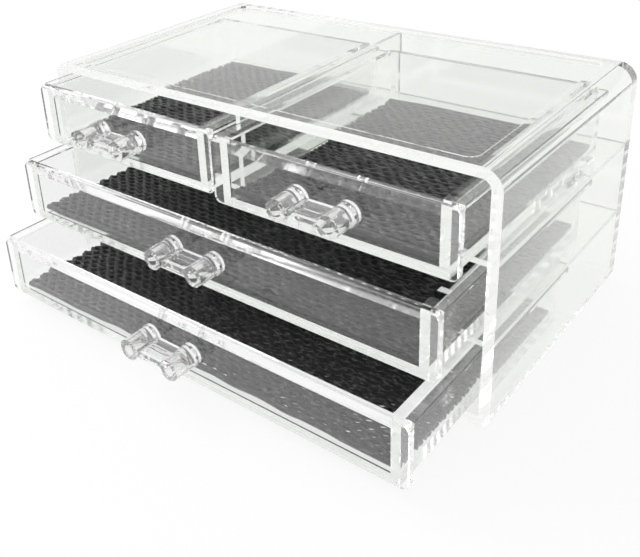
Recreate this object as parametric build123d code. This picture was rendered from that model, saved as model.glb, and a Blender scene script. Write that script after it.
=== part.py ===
from build123d import *
import os

# Clear drawer organiser for a vanity table: a rounded case with two shelves and a
# centre divider, two small drawers over two wide ones, a pull on each front and a
# loose net liner on each drawer floor. Millimetres, +X right, +Y back, +Z up. The
# origin is the centre of the case's underside.

# Case
case_width = 238.0
case_depth = 132.0
case_height = 109.0
case_wall = 4.5
case_back_wall = 4.0
case_top_radius = 8.5
case_bottom_radius = 5.0
case_back_bevel = 0.8
recess_depth = 1.2
recess_rim = 4.5
recess_corner_radius = 5.0

# Shelves and divider
shelf_thickness = 2.4
shelf_setback = 1.0
divider_thickness = 2.4
bond_line = 0.03

# Drawers
drawer_side_gap = 1.2
drawer_centre_gap = 1.0
drawer_lift = 0.4
drawer_head_gap = 2.5
drawer_back_gap = 0.5
front_thickness = 3.0
front_corner_radius = 3.2
front_edge_bevel = 0.4
tray_wall = 4.0
tray_back_wall = 3.0
tray_floor = 3.5
tray_corner_radius = 3.0
flange_width = 4.1
flange_thickness = 2.2
flange_edge_radius = 0.5
tongue_depth = 1.5
tongue_bevel = 6.0

# How far each drawer stands open
top_left_pull = 15.0
top_right_pull = 19.0
middle_pull = 31.2
bottom_pull = 49.2

# Pulls on the fronts
handle_spacing = 23.2
handle_reach = 13.4
post_diameter = 9.4
post_bore = 5.0
post_bore_depth = 8.0
collar_diameter = 10.6
collar_thickness = 1.6
bridge_thickness = 3.0
bridge_front_inset = 0.5
bridge_back_gap = 1.1
pocket_depth = 0.5
pocket_front = 1.4
pocket_length = 5.2
pocket_width = 9.6
pocket_radius = 1.6
pin_diameter = 4.0
pin_hole_clearance = 0.15

# Net liners
liner_thickness = 1.2
liner_gap = 1.0
net_rows = 6
wide_net_columns = 12
small_net_columns = 6
net_hole_share = 0.66
net_margin = 1.6

# Worked out from the sizes above
half_width = case_width / 2
front_y = -case_depth / 2
inner_half_width = half_width - case_wall
inner_height = case_height - 2 * case_wall
bay_back_y = case_depth / 2 - case_back_wall
tier_height = (inner_height - 2 * shelf_thickness) / 3
tier_pitch = tier_height + shelf_thickness
drawer_height = tier_height - drawer_lift - drawer_head_gap
drawer_length = bay_back_y - drawer_back_gap - front_y
drawer_outer_x = inner_half_width - drawer_side_gap
drawer_inner_x = divider_thickness / 2 + drawer_centre_gap


def tier_floor(tier):
    """Top of the surface that a tier's drawers run on."""
    return case_wall + tier * tier_pitch


# name, left edge, right edge, tier, how far it stands open, holes along the net
drawers = [
    ("top_left", -drawer_outer_x, -drawer_inner_x, 2, top_left_pull, small_net_columns),
    ("top_right", drawer_inner_x, drawer_outer_x, 2, top_right_pull, small_net_columns),
    ("middle", -drawer_outer_x, drawer_outer_x, 1, middle_pull, wide_net_columns),
    ("bottom", -drawer_outer_x, drawer_outer_x, 0, bottom_pull, wide_net_columns),
]


def box(x0, x1, y0, y1, z0, z1):
    """Box between two corners."""
    centre = ((x0 + x1) / 2, (y0 + y1) / 2, (z0 + z1) / 2)
    return Pos(*centre) * Box(x1 - x0, y1 - y0, z1 - z0)


def rod(x, y0, y1, z, diameter):
    """Round bar along Y."""
    turn = Rot(X=90)
    return Pos(x, (y0 + y1) / 2, z) * turn * Cylinder(diameter / 2, y1 - y0)


def case_outline(half, low, high, top_radius, bottom_radius):
    """Closed face of the case's section, with its own top and bottom corners."""
    face = Pos(0, (low + high) / 2) * Rectangle(2 * half, high - low)
    corners = face.vertices().sort_by(Axis.Y)
    face = fillet(corners[-2:], top_radius)
    corners = [v for v in face.vertices() if v.Y < low + 0.01]
    return fillet(corners, bottom_radius)


def along_y(face, y0, y1):
    """Sweep a face drawn in X and Z from y0 back to y1."""
    upright = Plane.XZ * face
    return Pos(0, y0, 0) * extrude(upright, amount=-(y1 - y0))


def case_shell():
    outside = case_outline(
        half_width, 0, case_height, case_top_radius, case_bottom_radius
    )
    inside = case_outline(
        inner_half_width,
        case_wall,
        case_height - case_wall,
        case_top_radius - case_wall,
        max(case_bottom_radius - case_wall, 0.5),
    )
    shell = along_y(outside, front_y, case_depth / 2)
    rear = shell.edges().filter_by_position(
        Axis.Y, case_depth / 2 - 0.01, case_depth / 2 + 0.01
    )
    shell = chamfer(rear, case_back_bevel)
    shell -= along_y(inside, front_y - 1, bay_back_y)
    recess_x = half_width - case_top_radius - recess_rim
    recess_y = case_depth / 2 - recess_rim
    window = RectangleRounded(2 * recess_x, 2 * recess_y, recess_corner_radius)
    shell -= Pos(0, 0, case_height - recess_depth) * extrude(
        window, amount=recess_depth + 1
    )
    return shell


def shelf(tier):
    top = tier_floor(tier)
    half = inner_half_width - bond_line
    back = bay_back_y - bond_line
    return box(-half, half, front_y + shelf_setback, back, top - shelf_thickness, top)


def centre_divider():
    half = divider_thickness / 2
    back = bay_back_y - bond_line
    low = tier_floor(2) + bond_line
    high = case_height - case_wall - bond_line
    return box(-half, half, front_y + shelf_setback, back, low, high)


def drawer_place(drawer):
    """Front face, floor and top of a drawer where it stands."""
    name, left, right, tier, pull, columns = drawer
    y = front_y - pull
    z = tier_floor(tier) + drawer_lift
    return left, right, y, z, z + drawer_height


def tray(drawer):
    """Floor, sides and back in one moulding, with a slide flange along each side."""
    left, right, y, z, top = drawer_place(drawer)
    front = y + front_thickness + bond_line
    back = y + drawer_length
    outer_left = left + flange_width
    outer_right = right - flange_width
    body = box(outer_left, outer_right, front, back, z, top)
    rear = body.edges().filter_by(Axis.Z).sort_by(Axis.Y)[-2:]
    body = fillet(rear, tray_corner_radius)
    hollow = box(
        outer_left + tray_wall,
        outer_right - tray_wall,
        front - tray_corner_radius,
        back - tray_back_wall,
        z + tray_floor,
        top + 1,
    )
    inner = hollow.edges().filter_by(Axis.Z).sort_by(Axis.Y)[-2:]
    body -= fillet(inner, tray_corner_radius - tray_back_wall / 2)
    for x0, x1 in ((left, outer_left), (outer_right, right)):
        flange = box(x0, x1, front, back - tray_corner_radius, top - flange_thickness, top)
        body += flange
    rims = body.edges().filter_by(Axis.Y).filter_by_position(Axis.Z, top - 0.01, top + 0.01)
    tips = [e for e in rims if min(abs(e.center().X - left), abs(e.center().X - right)) < 0.01]
    return fillet(tips, flange_edge_radius)


def front_panel(drawer):
    """Plate across the open front of a tray, with a tongue that fits between the tray's sides."""
    left, right, y, z, top = drawer_place(drawer)
    middle = (left + right) / 2
    outline = RectangleRounded(right - left, top - z, front_corner_radius)
    plate = along_y(Pos(middle, (top + z) / 2) * outline, y, y + front_thickness)
    rim = plate.edges().filter_by_position(Axis.Y, y - 0.01, y + 0.01)
    plate = chamfer(rim, front_edge_bevel)
    plate += tongue(drawer)
    hole = pin_diameter + 2 * pin_hole_clearance
    for x in post_places(middle):
        plate -= rod(x, y - 1, y + front_thickness + tongue_depth + 1, (top + z) / 2, hole)
    return plate


def tongue(drawer):
    """Step behind the plate that fills the tray's open end, bevelled away towards the top."""
    left, right, y, z, top = drawer_place(drawer)
    near = y + front_thickness
    far = near + tongue_depth
    inset = flange_width + tray_wall + bond_line
    low = z + tray_floor + bond_line
    section = Polyline(
        (near, low),
        (far, low),
        (far, top - tongue_bevel),
        (near, top),
        close=True,
    )
    side = Plane.YZ * make_face(section)
    return Pos(left + inset, 0, 0) * extrude(side, amount=right - left - 2 * inset)


def post_places(middle):
    return (middle - handle_spacing / 2, middle + handle_spacing / 2)


def handle(drawer):
    """Two hollow barrels with collars and pins, joined by a thin bridge."""
    left, right, y, z, top = drawer_place(drawer)
    middle = (left + right) / 2
    height = (top + z) / 2
    tip = y - handle_reach
    start = tip + bridge_front_inset
    half = handle_spacing / 2
    low = height - bridge_thickness / 2
    high = height + bridge_thickness / 2
    grip = box(middle - half, middle + half, start, y - bridge_back_gap, low, high)
    window = RectangleRounded(pocket_width, pocket_length, pocket_radius)
    window = Pos(middle, start + pocket_front + pocket_length / 2) * window
    grip -= Pos(0, 0, high - pocket_depth) * extrude(window, amount=pocket_depth + 1)
    grip -= Pos(0, 0, low - 1) * extrude(window, amount=pocket_depth + 1)
    for x in post_places(middle):
        grip += post(x, y, height)
    for x in post_places(middle):
        grip -= rod(x, tip - 1, tip + post_bore_depth, height, post_bore)
    return grip


def post(x, y, height):
    """Barrel, collar and pin turned about one axis along Y."""
    tip = handle_reach
    back = bond_line
    pin = -front_thickness - tongue_depth
    profile = Polyline(
        (0, pin),
        (pin_diameter / 2, pin),
        (pin_diameter / 2, back),
        (collar_diameter / 2, back),
        (collar_diameter / 2, collar_thickness),
        (post_diameter / 2, collar_thickness),
        (post_diameter / 2, tip),
        (0, tip),
        close=True,
    )
    turned = revolve(Plane.XY * make_face(profile), Axis.Y)
    return Pos(x, y, height) * Rot(Z=180) * turned


def net_liner(drawer):
    """Loose net cut to the drawer floor: a thin sheet with staggered eye-shaped holes."""
    name, left, right, tier, pull, columns = drawer
    left, right, y, z, top = drawer_place(drawer)
    inset = flange_width + tray_wall + liner_gap
    x0 = left + inset
    x1 = right - inset
    y0 = y + front_thickness + tongue_depth + liner_gap
    y1 = y + drawer_length - tray_back_wall - liner_gap
    pitch_x = (x1 - x0 - 2 * net_margin) / (columns + 0.5)
    pitch_y = (y1 - y0 - 2 * net_margin) / net_rows
    sheet = Pos((x0 + x1) / 2, (y0 + y1) / 2) * Rectangle(x1 - x0, y1 - y0)
    holes = []
    for row in range(net_rows):
        shift = 0.5 * (row % 2)
        cy = y0 + net_margin + (row + 0.5) * pitch_y
        for column in range(columns):
            cx = x0 + net_margin + (column + 0.5 + shift) * pitch_x
            holes.append(Pos(cx, cy) * eye_hole(pitch_x, pitch_y))
    sheet -= holes
    return Pos(0, 0, z + tray_floor + bond_line) * extrude(sheet, amount=liner_thickness)


def eye_hole(pitch_x, pitch_y):
    """Six-sided eye, long side to side."""
    half_x = pitch_x * net_hole_share / 2
    half_y = pitch_y * net_hole_share / 2
    corners = [
        (-half_x, 0),
        (-half_x / 2, half_y),
        (half_x / 2, half_y),
        (half_x, 0),
        (half_x / 2, -half_y),
        (-half_x / 2, -half_y),
    ]
    return make_face(Polyline(*corners, close=True))


def save(node, solid):
    export_step(solid, os.path.join("parts", node + ".step"))


os.makedirs("parts", exist_ok=True)
save("case_shell", case_shell())
save("lower_shelf", shelf(1))
save("upper_shelf", shelf(2))
save("centre_divider", centre_divider())
for drawer in drawers:
    name = drawer[0]
    save(name + "_tray", tray(drawer))
    save(name + "_front", front_panel(drawer))
    save(name + "_handle", handle(drawer))
    save(name + "_net_liner", net_liner(drawer))
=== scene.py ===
import bpy
import math
from mathutils import Matrix, Vector


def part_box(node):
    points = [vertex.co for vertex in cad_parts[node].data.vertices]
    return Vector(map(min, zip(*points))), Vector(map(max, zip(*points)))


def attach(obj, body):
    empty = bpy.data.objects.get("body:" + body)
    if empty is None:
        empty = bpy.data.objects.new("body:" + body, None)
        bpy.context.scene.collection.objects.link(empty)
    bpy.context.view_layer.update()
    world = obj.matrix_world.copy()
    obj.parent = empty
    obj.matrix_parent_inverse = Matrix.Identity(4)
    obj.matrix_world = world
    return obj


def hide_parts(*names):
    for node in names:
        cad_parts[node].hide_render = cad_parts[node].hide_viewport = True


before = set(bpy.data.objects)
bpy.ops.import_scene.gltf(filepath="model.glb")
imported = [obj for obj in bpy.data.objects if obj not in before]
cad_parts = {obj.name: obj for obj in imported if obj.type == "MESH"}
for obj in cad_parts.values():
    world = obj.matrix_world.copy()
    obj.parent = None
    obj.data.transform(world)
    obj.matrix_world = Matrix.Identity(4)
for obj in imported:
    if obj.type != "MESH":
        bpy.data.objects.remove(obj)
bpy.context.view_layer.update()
scene = bpy.context.scene
drawerNames = ["top_left", "top_right", "middle", "bottom"]


# small helpers for node trees
def addNode(tree, kind, **values):
    node = tree.nodes.new(kind)
    for key, value in values.items():
        setattr(node, key, value)
    return node


# a value goes into a socket as a link or as a plain number
def feed(tree, value, socket):
    if hasattr(value, "is_output"):
        tree.links.new(value, socket)
    elif value is not None:
        socket.default_value = value


def mathNode(tree, operation, first, second=None, third=None):
    node = addNode(tree, "ShaderNodeMath", operation=operation)
    for socket, value in zip(node.inputs, (first, second, third)):
        feed(tree, value, socket)
    return node.outputs[0]


def joinAxes(tree, x=0.0, y=0.0, z=0.0):
    node = addNode(tree, "ShaderNodeCombineXYZ")
    for socket, value in zip(node.inputs, (x, y, z)):
        feed(tree, value, socket)
    return node.outputs[0]


def splitAxes(tree, vector):
    node = addNode(tree, "ShaderNodeSeparateXYZ")
    tree.links.new(vector, node.inputs[0])
    return node.outputs


def addNoise(tree, scale, detail, place=None):
    noise = addNode(tree, "ShaderNodeTexNoise")
    noise.inputs["Scale"].default_value = scale
    noise.inputs["Detail"].default_value = detail
    feed(tree, place, noise.inputs["Vector"])
    return noise


def newMaterial(name):
    material = bpy.data.materials.new(name)
    material.use_nodes = True
    tree = material.node_tree
    return material, tree, tree.nodes["Principled BSDF"]


def noiseBump(tree, shader, scale, strength, distance, detail):
    place = addNode(tree, "ShaderNodeTexCoord").outputs["Object"]
    noise = addNoise(tree, scale, detail, place)
    bump = addNode(tree, "ShaderNodeBump")
    bump.inputs["Strength"].default_value = strength
    bump.inputs["Distance"].default_value = distance
    tree.links.new(noise.outputs["Fac"], bump.inputs["Height"])
    tree.links.new(bump.outputs["Normal"], shader.inputs["Normal"])


photoCamera = {
    "azimuth": 40.63,       # degrees, 0 looks along +Y
    "elevation": 24.12,
    "roll": -3.31,
    "place": (0.2275, -0.31045, 0.23379),
    "lens": 48.59,          # mm on a 36 mm sensor
    "shift": (0.0764, -0.1888),
    "sees": (0.01, 20),     # nearest and farthest, in metres
}


def makeCamera(spec):
    azimuth = math.radians(spec["azimuth"])
    elevation = math.radians(spec["elevation"])
    roll = math.radians(spec["roll"])
    back = Vector((
        math.sin(azimuth) * math.cos(elevation),
        -math.cos(azimuth) * math.cos(elevation),
        math.sin(elevation),
    ))
    level = Vector((math.cos(azimuth), math.sin(azimuth), 0))
    upright = back.cross(level)
    right = level * math.cos(roll) + upright * math.sin(roll)
    up = upright * math.cos(roll) - level * math.sin(roll)
    data = bpy.data.cameras.new("photoCamera")
    data.lens = spec["lens"]
    data.sensor_width = 36
    data.shift_x, data.shift_y = spec["shift"]
    data.clip_start, data.clip_end = spec["sees"]
    camera = bpy.data.objects.new("photoCamera", data)
    scene.collection.objects.link(camera)
    turn = Matrix((right, up, back)).transposed()
    camera.matrix_world = Matrix.Translation(spec["place"]) @ turn.to_4x4()
    scene.camera = camera
    print("camera made")


room = {
    "floorHalf": 3.0,
    "floorDrop": 0.0002,     # just under the case, so that the two don't share a face
    "floorColour": (0.9, 0.9, 0.9, 1),
    "floorRough": 0.9,
    "floorGlow": {           # how much of the floor is plain white
        "Is Camera Ray": 0.9,
        "Is Glossy Ray": 0.9,
        "Is Transmission Ray": 0.6,
    },
    "skyGlow": {
        "Is Camera Ray": 1.0,
        "Is Glossy Ray": 1.0,
        "Is Transmission Ray": 1.0,
    },
    "skyBright": (1.0, 1.0, 1.0, 1),      # on the left
    "skyDim": (0.78, 0.78, 0.78, 1),      # on the right
    "skyTurn": (0.1, 0.9),                # where bright ends and dim begins
    "lampPower": 6.0,
    "lampSize": 0.6,
    "lampPlace": (-0.8, -0.1, 0.8),
    "lampAim": (0, 0, 0.05),
}


# lit colour for light that falls on the object, plain white for the background
def mixGlow(tree, lit, white, surface, glow):
    path = addNode(tree, "ShaderNodeLightPath")
    share = 0.0
    for name, amount in glow.items():
        part = mathNode(tree, "MULTIPLY", path.outputs[name], amount)
        share = mathNode(tree, "MAXIMUM", share, part)
    mix = addNode(tree, "ShaderNodeMixShader")
    tree.links.new(share, mix.inputs["Fac"])
    tree.links.new(lit, mix.inputs[1])
    tree.links.new(white, mix.inputs[2])
    tree.links.new(mix.outputs[0], surface)


def makeFloor():
    half = room["floorHalf"]
    mesh = bpy.data.meshes.new("floor")
    corners = [(-half, -half, 0), (half, -half, 0), (half, half, 0), (-half, half, 0)]
    mesh.from_pydata(corners, [], [(0, 1, 2, 3)])
    floor = bpy.data.objects.new("floor", mesh)
    scene.collection.objects.link(floor)
    floor.location.z = -room["floorDrop"]
    material, tree, shader = newMaterial("paleFloor")
    shader.inputs["Base Color"].default_value = room["floorColour"]
    shader.inputs["Roughness"].default_value = room["floorRough"]
    shader.inputs["Specular IOR Level"].default_value = 0.0
    white = addNode(tree, "ShaderNodeEmission")
    white.inputs["Color"].default_value = (1, 1, 1, 1)
    surface = tree.nodes["Material Output"].inputs["Surface"]
    mixGlow(tree, shader.outputs[0], white.outputs[0], surface, room["floorGlow"])
    mesh.materials.append(material)
    print("floor made")


def makeWorld():
    world = bpy.data.worlds.new("studio")
    scene.world = world
    world.use_nodes = True
    tree = world.node_tree
    sky = tree.nodes["Background"]
    place = addNode(tree, "ShaderNodeTexCoord").outputs["Generated"]
    side = mathNode(tree, "MULTIPLY_ADD", splitAxes(tree, place)["X"], 0.5, 0.5)
    ramp = addNode(tree, "ShaderNodeValToRGB")
    for index, colour in enumerate(("skyBright", "skyDim")):
        ramp.color_ramp.elements[index].position = room["skyTurn"][index]
        ramp.color_ramp.elements[index].color = room[colour]
    tree.links.new(side, ramp.inputs["Fac"])
    tree.links.new(ramp.outputs["Color"], sky.inputs["Color"])
    white = addNode(tree, "ShaderNodeBackground")
    white.inputs["Color"].default_value = (1, 1, 1, 1)
    surface = tree.nodes["World Output"].inputs["Surface"]
    mixGlow(tree, sky.outputs[0], white.outputs[0], surface, room["skyGlow"])
    print("world made")


def makeLamp():
    data = bpy.data.lights.new("softLamp", "AREA")
    data.energy = room["lampPower"]
    data.size = room["lampSize"]
    lamp = bpy.data.objects.new("softLamp", data)
    scene.collection.objects.link(lamp)
    lamp.location = room["lampPlace"]
    aim = Vector(room["lampAim"]) - Vector(room["lampPlace"])
    lamp.rotation_mode = "QUATERNION"
    lamp.rotation_quaternion = aim.to_track_quat("-Z", "Y")
    print("lamp made")


clearPlastic = {
    "caseTint": (0.960, 0.970, 0.950, 1),
    "drawerTint": (0.97, 0.975, 0.972, 1),
    "pullTint": (0.985, 0.985, 0.985, 1),
    "index": 1.59,
    "caseRough": 0.02,
    "drawerRough": 0.03,
    "pullRough": 0.0,
    "pullClear": 0.95,       # the rest is milky
    "waveScale": 12.0,       # the fronts aren't quite flat
    "waveHeight": 0.0005,
    "waveStrength": 0.04,
}


def makeClear(name, part, clear=1.0, wavy=False):
    material, tree, shader = newMaterial(name)
    shader.inputs["Base Color"].default_value = clearPlastic[part + "Tint"]
    shader.inputs["Roughness"].default_value = clearPlastic[part + "Rough"]
    shader.inputs["Transmission Weight"].default_value = clear
    shader.inputs["IOR"].default_value = clearPlastic["index"]
    if wavy:
        height = clearPlastic["waveHeight"]
        strength = clearPlastic["waveStrength"]
        noiseBump(tree, shader, clearPlastic["waveScale"], strength, height, 0.0)
    return material


def dress(nodeName, material):
    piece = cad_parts[nodeName]
    piece.data.materials.clear()
    piece.data.materials.append(material)


netFoam = {
    "dark": (0.012, 0.012, 0.013, 1),
    "paintedHighlight": (0.15, 0.15, 0.155, 1),      # painted highlight: lighter patches in place of light caught by the strands' crests
    "paintedHighlightScale": (260.0, 800.0, 800.0),  # longer along the strands
    "paintedHighlightShare": (0.54, 0.70),           # of the noise, where the painted highlights begin and are full
    "rough": 0.42,
    "poreScale": 1500.0,
    "poreStrength": 0.8,
    "poreDepth": 0.0004,
}


def makeNetMaterial():
    material, tree, shader = newMaterial("blackNet")
    shader.inputs["Roughness"].default_value = netFoam["rough"]
    place = addNode(tree, "ShaderNodeTexCoord").outputs["Object"]
    stretch = addNode(tree, "ShaderNodeMapping")
    stretch.inputs["Scale"].default_value = netFoam["paintedHighlightScale"]
    tree.links.new(place, stretch.inputs["Vector"])
    noise = addNoise(tree, 1.0, 1.0, stretch.outputs["Vector"])
    # painted highlight: streaks of noise lighten the foam's base colour where light would
    # glint on the strands
    ramp = addNode(tree, "ShaderNodeValToRGB")
    for index, colour in enumerate(("dark", "paintedHighlight")):
        ramp.color_ramp.elements[index].position = netFoam["paintedHighlightShare"][index]
        ramp.color_ramp.elements[index].color = netFoam[colour]
    tree.links.new(noise.outputs["Fac"], ramp.inputs["Fac"])
    tree.links.new(ramp.outputs["Color"], shader.inputs["Base Color"])
    strength = netFoam["poreStrength"]
    noiseBump(tree, shader, netFoam["poreScale"], strength, netFoam["poreDepth"], 3.0)
    return material


netLiner = {
    "cellLength": 0.0062,    # along X, one eye to the next
    "rowPitch": 0.0030,
    "swing": 0.0009,         # how far a strand waves to each side
    "thickness": 0.0027,
    "thinAtLeft": 0.45,      # the net is pulled open towards its left edge
    "swingAtRight": 0.62,    # and waves less past that stretch
    "thinLength": {"top_left": 0.020, "top_right": 0.020, "middle": 0.050, "bottom": 0.060},
    "lumps": 0.12,           # how much a strand's thickness varies
    "lumpScale": 420.0,
    "sway": 0.0035,          # slow drift of the strands to front and back
    "swayScale": 38.0,
    "riseFrom": 0.55,        # of the noise, where the net lifts off the floor
    "rise": 0.006,
    "firstRow": 0.55,        # of a row's pitch
    "stepsPerCell": 8,
    "sides": 6,
    "ragged": 0.0016,
    "reach": 0.0007,         # past the plain liner, almost to the drawer's walls
    "lift": 0.0005,          # keeps the lumps out of the drawer's floor
    "insets": {              # of the left edge, at the front, middle and back
        "top_left": (0.0055, 0.0035, 0.0050),
        "top_right": (-0.0002, 0.0020, -0.0002),
        "middle": (-0.0002, 0.0000, 0.0004),
        "bottom": (-0.0004, 0.0004, 0.0018),
    },
}
netNumbers = {               # inputs of the net's tree; each net sets its own edges
    "Left": 0.0,
    "Right": 0.0,
    "Front": 0.0,
    "Back": 0.0,
    "Low": 0.0,
    "Front Inset": 0.0,
    "Middle Inset": 0.0,
    "Back Inset": 0.0,
    "Thin Length": 0.0,
    "Cell Length": netLiner["cellLength"],
    "Row Pitch": netLiner["rowPitch"],
    "Swing": netLiner["swing"],
    "Swing At Right": netLiner["swingAtRight"],
    "Thickness": netLiner["thickness"],
    "Thin At Left": netLiner["thinAtLeft"],
    "Lumps": netLiner["lumps"],
    "Sway": netLiner["sway"],
    "Rise From": netLiner["riseFrom"],
    "Rise": netLiner["rise"],
    "First Row": netLiner["firstRow"],
    "Ragged": netLiner["ragged"],
}
netCounts = {
    "Steps": netLiner["stepsPerCell"],
    "Sides": netLiner["sides"],
    "Seed": 0,
}


def addInputs(tree, kind, values):
    for name, value in values.items():
        socket = tree.interface.new_socket(name, in_out="INPUT", socket_type=kind)
        socket.default_value = value


# a value that goes from one to another along the stretch pulled open at the left
def fromLeft(tree, given, atLeft, beyond):
    place = addNode(tree, "GeometryNodeInputPosition").outputs[0]
    change = addNode(tree, "ShaderNodeMapRange")
    distance = mathNode(tree, "SUBTRACT", splitAxes(tree, place)["X"], given["Left"])
    feed(tree, distance, change.inputs["Value"])
    feed(tree, given["Thin Length"], change.inputs["From Max"])
    feed(tree, atLeft, change.inputs["To Min"])
    feed(tree, beyond, change.inputs["To Max"])
    return change.outputs["Result"]


# waved strands side by side, each half a wave on from the last, so that they touch
def netTree(material):
    tree = bpy.data.node_groups.new("netLiner", "GeometryNodeTree")
    geometry = "NodeSocketGeometry"
    tree.interface.new_socket("Geometry", in_out="OUTPUT", socket_type=geometry)
    addInputs(tree, "NodeSocketFloat", netNumbers)
    addInputs(tree, "NodeSocketInt", netCounts)
    given = addNode(tree, "NodeGroupInput").outputs
    result = addNode(tree, "NodeGroupOutput")

    def calc(operation, first, second=None):
        return mathNode(tree, operation, first, second)

    def link(output, node, name):
        tree.links.new(output, node.inputs[name])

    width = calc("SUBTRACT", given["Right"], given["Left"])
    depth = calc("SUBTRACT", given["Back"], given["Front"])
    step = calc("DIVIDE", given["Cell Length"], given["Steps"])
    along = calc("ADD", calc("FLOOR", calc("DIVIDE", width, step)), 1.0)
    rows = calc("FLOOR", calc("DIVIDE", depth, given["Row Pitch"]))
    # one strand and one column of row starts
    strand = addNode(tree, "GeometryNodeMeshLine", mode="OFFSET")
    link(along, strand, "Count")
    link(joinAxes(tree, x=step), strand, "Offset")
    firstRow = calc("MULTIPLY", given["Row Pitch"], given["First Row"])
    frontRow = calc("ADD", given["Front"], firstRow)
    column = addNode(tree, "GeometryNodeMeshLine", mode="OFFSET")
    link(rows, column, "Count")
    link(joinAxes(tree, given["Left"], frontRow, given["Low"]), column, "Start Location")
    link(joinAxes(tree, y=given["Row Pitch"]), column, "Offset")
    copies = addNode(tree, "GeometryNodeInstanceOnPoints")
    link(column.outputs[0], copies, "Points")
    link(strand.outputs[0], copies, "Instance")
    real = addNode(tree, "GeometryNodeRealizeInstances")
    link(copies.outputs[0], real, "Geometry")
    # wave each strand, opposite ways on odd and even rows
    index = addNode(tree, "GeometryNodeInputIndex").outputs[0]
    row = calc("FLOOR", calc("DIVIDE", index, along))
    onRow = calc("MODULO", index, along)
    turn = calc("MULTIPLY", calc("DIVIDE", onRow, given["Steps"]), 2 * math.pi)
    halfTurn = calc("MULTIPLY", calc("MODULO", row, 2.0), math.pi)
    swingShare = fromLeft(tree, given, 1.0, given["Swing At Right"])
    swing = calc("MULTIPLY", given["Swing"], swingShare)
    wave = calc("MULTIPLY", calc("SINE", calc("ADD", turn, halfTurn)), swing)
    noise = addNode(tree, "FunctionNodeSeparateColor")
    sway = addNoise(tree, netLiner["swayScale"], 1.0)
    tree.links.new(sway.outputs["Color"], noise.inputs[0])
    drift = calc("MULTIPLY", calc("SUBTRACT", noise.outputs[0], 0.5), given["Sway"])
    above = calc("SUBTRACT", noise.outputs[1], given["Rise From"])
    lift = calc("MULTIPLY", calc("MAXIMUM", above, 0.0), given["Rise"])
    # the first and last strands are straight, and thin strands lie lower
    notFirst = calc("GREATER_THAN", row, 0.5)
    notLast = calc("LESS_THAN", row, calc("SUBTRACT", rows, 1.5))
    inside = calc("MULTIPLY", notFirst, notLast)
    girth = fromLeft(tree, given, given["Thin At Left"], 1.0)
    halfHeight = calc("MULTIPLY", calc("MULTIPLY", girth, given["Thickness"]), 0.5)
    aside = calc("MULTIPLY", calc("ADD", wave, drift), inside)
    waved = addNode(tree, "GeometryNodeSetPosition")
    link(real.outputs[0], waved, "Geometry")
    link(joinAxes(tree, y=aside, z=calc("ADD", lift, halfHeight)), waved, "Offset")
    # the left edge follows a curve through three insets from front to back
    spot = splitAxes(tree, addNode(tree, "GeometryNodeInputPosition").outputs[0])
    back = calc("DIVIDE", calc("SUBTRACT", spot["Y"], given["Front"]), depth)
    front = calc("SUBTRACT", 1.0, back)
    atFront = calc("MULTIPLY", given["Front Inset"], calc("MULTIPLY", front, front))
    atBack = calc("MULTIPLY", given["Back Inset"], calc("MULTIPLY", back, back))
    between = calc("MULTIPLY", calc("MULTIPLY", front, back), 2.0)
    atMiddle = calc("MULTIPLY", given["Middle Inset"], between)
    inset = calc("ADD", calc("ADD", atFront, atMiddle), atBack)
    # and each strand ends there unevenly
    edge = addNode(tree, "FunctionNodeRandomValue", data_type="FLOAT")
    link(row, edge, "ID")
    link(given["Seed"], edge, "Seed")
    tree.links.new(given["Ragged"], edge.inputs[3])     # highest value
    ragged = calc("ADD", inset, edge.outputs[1])
    offLeft = calc("LESS_THAN", spot["X"], calc("ADD", given["Left"], ragged))
    offRight = calc("GREATER_THAN", spot["X"], given["Right"])
    cut = addNode(tree, "GeometryNodeDeleteGeometry", domain="POINT")
    link(waved.outputs[0], cut, "Geometry")
    link(calc("MAXIMUM", offLeft, offRight), cut, "Selection")
    lines = addNode(tree, "GeometryNodeMeshToCurve")
    link(cut.outputs[0], lines, "Mesh")
    # strands are lumpy foam, thinner where the net is pulled open
    lump = addNoise(tree, netLiner["lumpScale"], 1.0).outputs[0]
    uneven = calc("MULTIPLY", calc("SUBTRACT", lump, 0.5), given["Lumps"])
    plump = addNode(tree, "GeometryNodeSetCurveRadius")
    link(lines.outputs[0], plump, "Curve")
    link(calc("ADD", girth, calc("MULTIPLY", uneven, 2.0)), plump, "Radius")
    ring = addNode(tree, "GeometryNodeCurvePrimitiveCircle", mode="RADIUS")
    link(given["Sides"], ring, "Resolution")
    link(calc("MULTIPLY", given["Thickness"], 0.5), ring, "Radius")
    tubes = addNode(tree, "GeometryNodeCurveToMesh")
    link(plump.outputs[0], tubes, "Curve")
    link(ring.outputs[0], tubes, "Profile Curve")
    tubes.inputs["Fill Caps"].default_value = True
    again = addNode(tree, "GeometryNodeRealizeInstances")
    link(tubes.outputs[0], again, "Geometry")
    finish = addNode(tree, "GeometryNodeSetMaterial")
    finish.inputs["Material"].default_value = material
    link(again.outputs[0], finish, "Geometry")
    tree.links.new(finish.outputs[0], result.inputs[0])
    return tree


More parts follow.
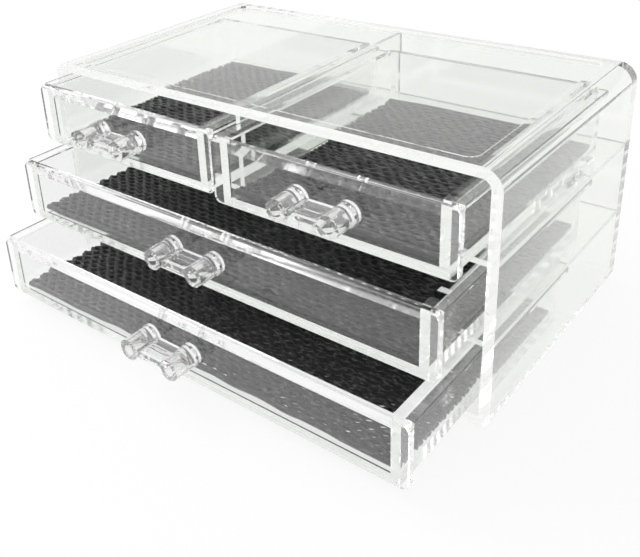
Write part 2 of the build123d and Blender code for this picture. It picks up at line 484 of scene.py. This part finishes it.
def setInputs(modifier, values):
    for item in modifier.node_group.interface.items_tree:
        if item.item_type == "SOCKET" and item.in_out == "INPUT" and item.name in values:
            modifier[item.identifier] = values[item.name]


def makeNet(drawer, tree, seed):
    liner = drawer + "_net_liner"
    low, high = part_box(liner)
    reach = netLiner["reach"]
    insets = netLiner["insets"][drawer]
    holder = bpy.data.objects.new(drawer + "Net", bpy.data.meshes.new("holder"))
    scene.collection.objects.link(holder)
    modifier = holder.modifiers.new("net", "NODES")
    modifier.node_group = tree
    setInputs(modifier, {
        "Left": low.x - reach,
        "Right": high.x + reach,
        "Front": low.y - reach,
        "Back": high.y + reach,
        "Low": low.z + netLiner["lift"],
        "Front Inset": insets[0],
        "Middle Inset": insets[1],
        "Back Inset": insets[2],
        "Thin Length": netLiner["thinLength"][drawer],
        "Seed": seed,
    })
    bpy.context.view_layer.update()
    graph = bpy.context.evaluated_depsgraph_get()
    mesh = bpy.data.meshes.new_from_object(holder.evaluated_get(graph))
    mesh.name = drawer + "Net"
    holder.modifiers.clear()
    holder.data = mesh
    mesh.polygons.foreach_set("use_smooth", [True] * len(mesh.polygons))
    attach(holder, drawer + "_drawer")
    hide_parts(liner)
    print(drawer, "net", len(mesh.polygons), "faces")


lightBounces = {             # edges need many, because light is thrown back inside them
    "max_bounces": 128,
    "transmission_bounces": 96,
    "glossy_bounces": 96,
    "transparent_max_bounces": 16,
}

makeCamera(photoCamera)
makeFloor()
makeWorld()
makeLamp()
caseClear = makeClear("caseClear", "case")
drawerClear = makeClear("drawerClear", "drawer")
frontClear = makeClear("frontClear", "drawer", wavy=True)
pullClear = makeClear("pullClear", "pull", clear=clearPlastic["pullClear"])
for name in ("case_shell", "lower_shelf", "upper_shelf", "centre_divider"):
    dress(name, caseClear)
for name in drawerNames:
    dress(name + "_tray", drawerClear)
    dress(name + "_front", frontClear)
    dress(name + "_handle", pullClear)
print("clear pieces dressed")
strands = netTree(makeNetMaterial())
for seed, name in enumerate(drawerNames):
    makeNet(name, strands, seed)
scene.view_settings.view_transform = "Standard"
for name, count in lightBounces.items():
    setattr(scene.cycles, name, count)
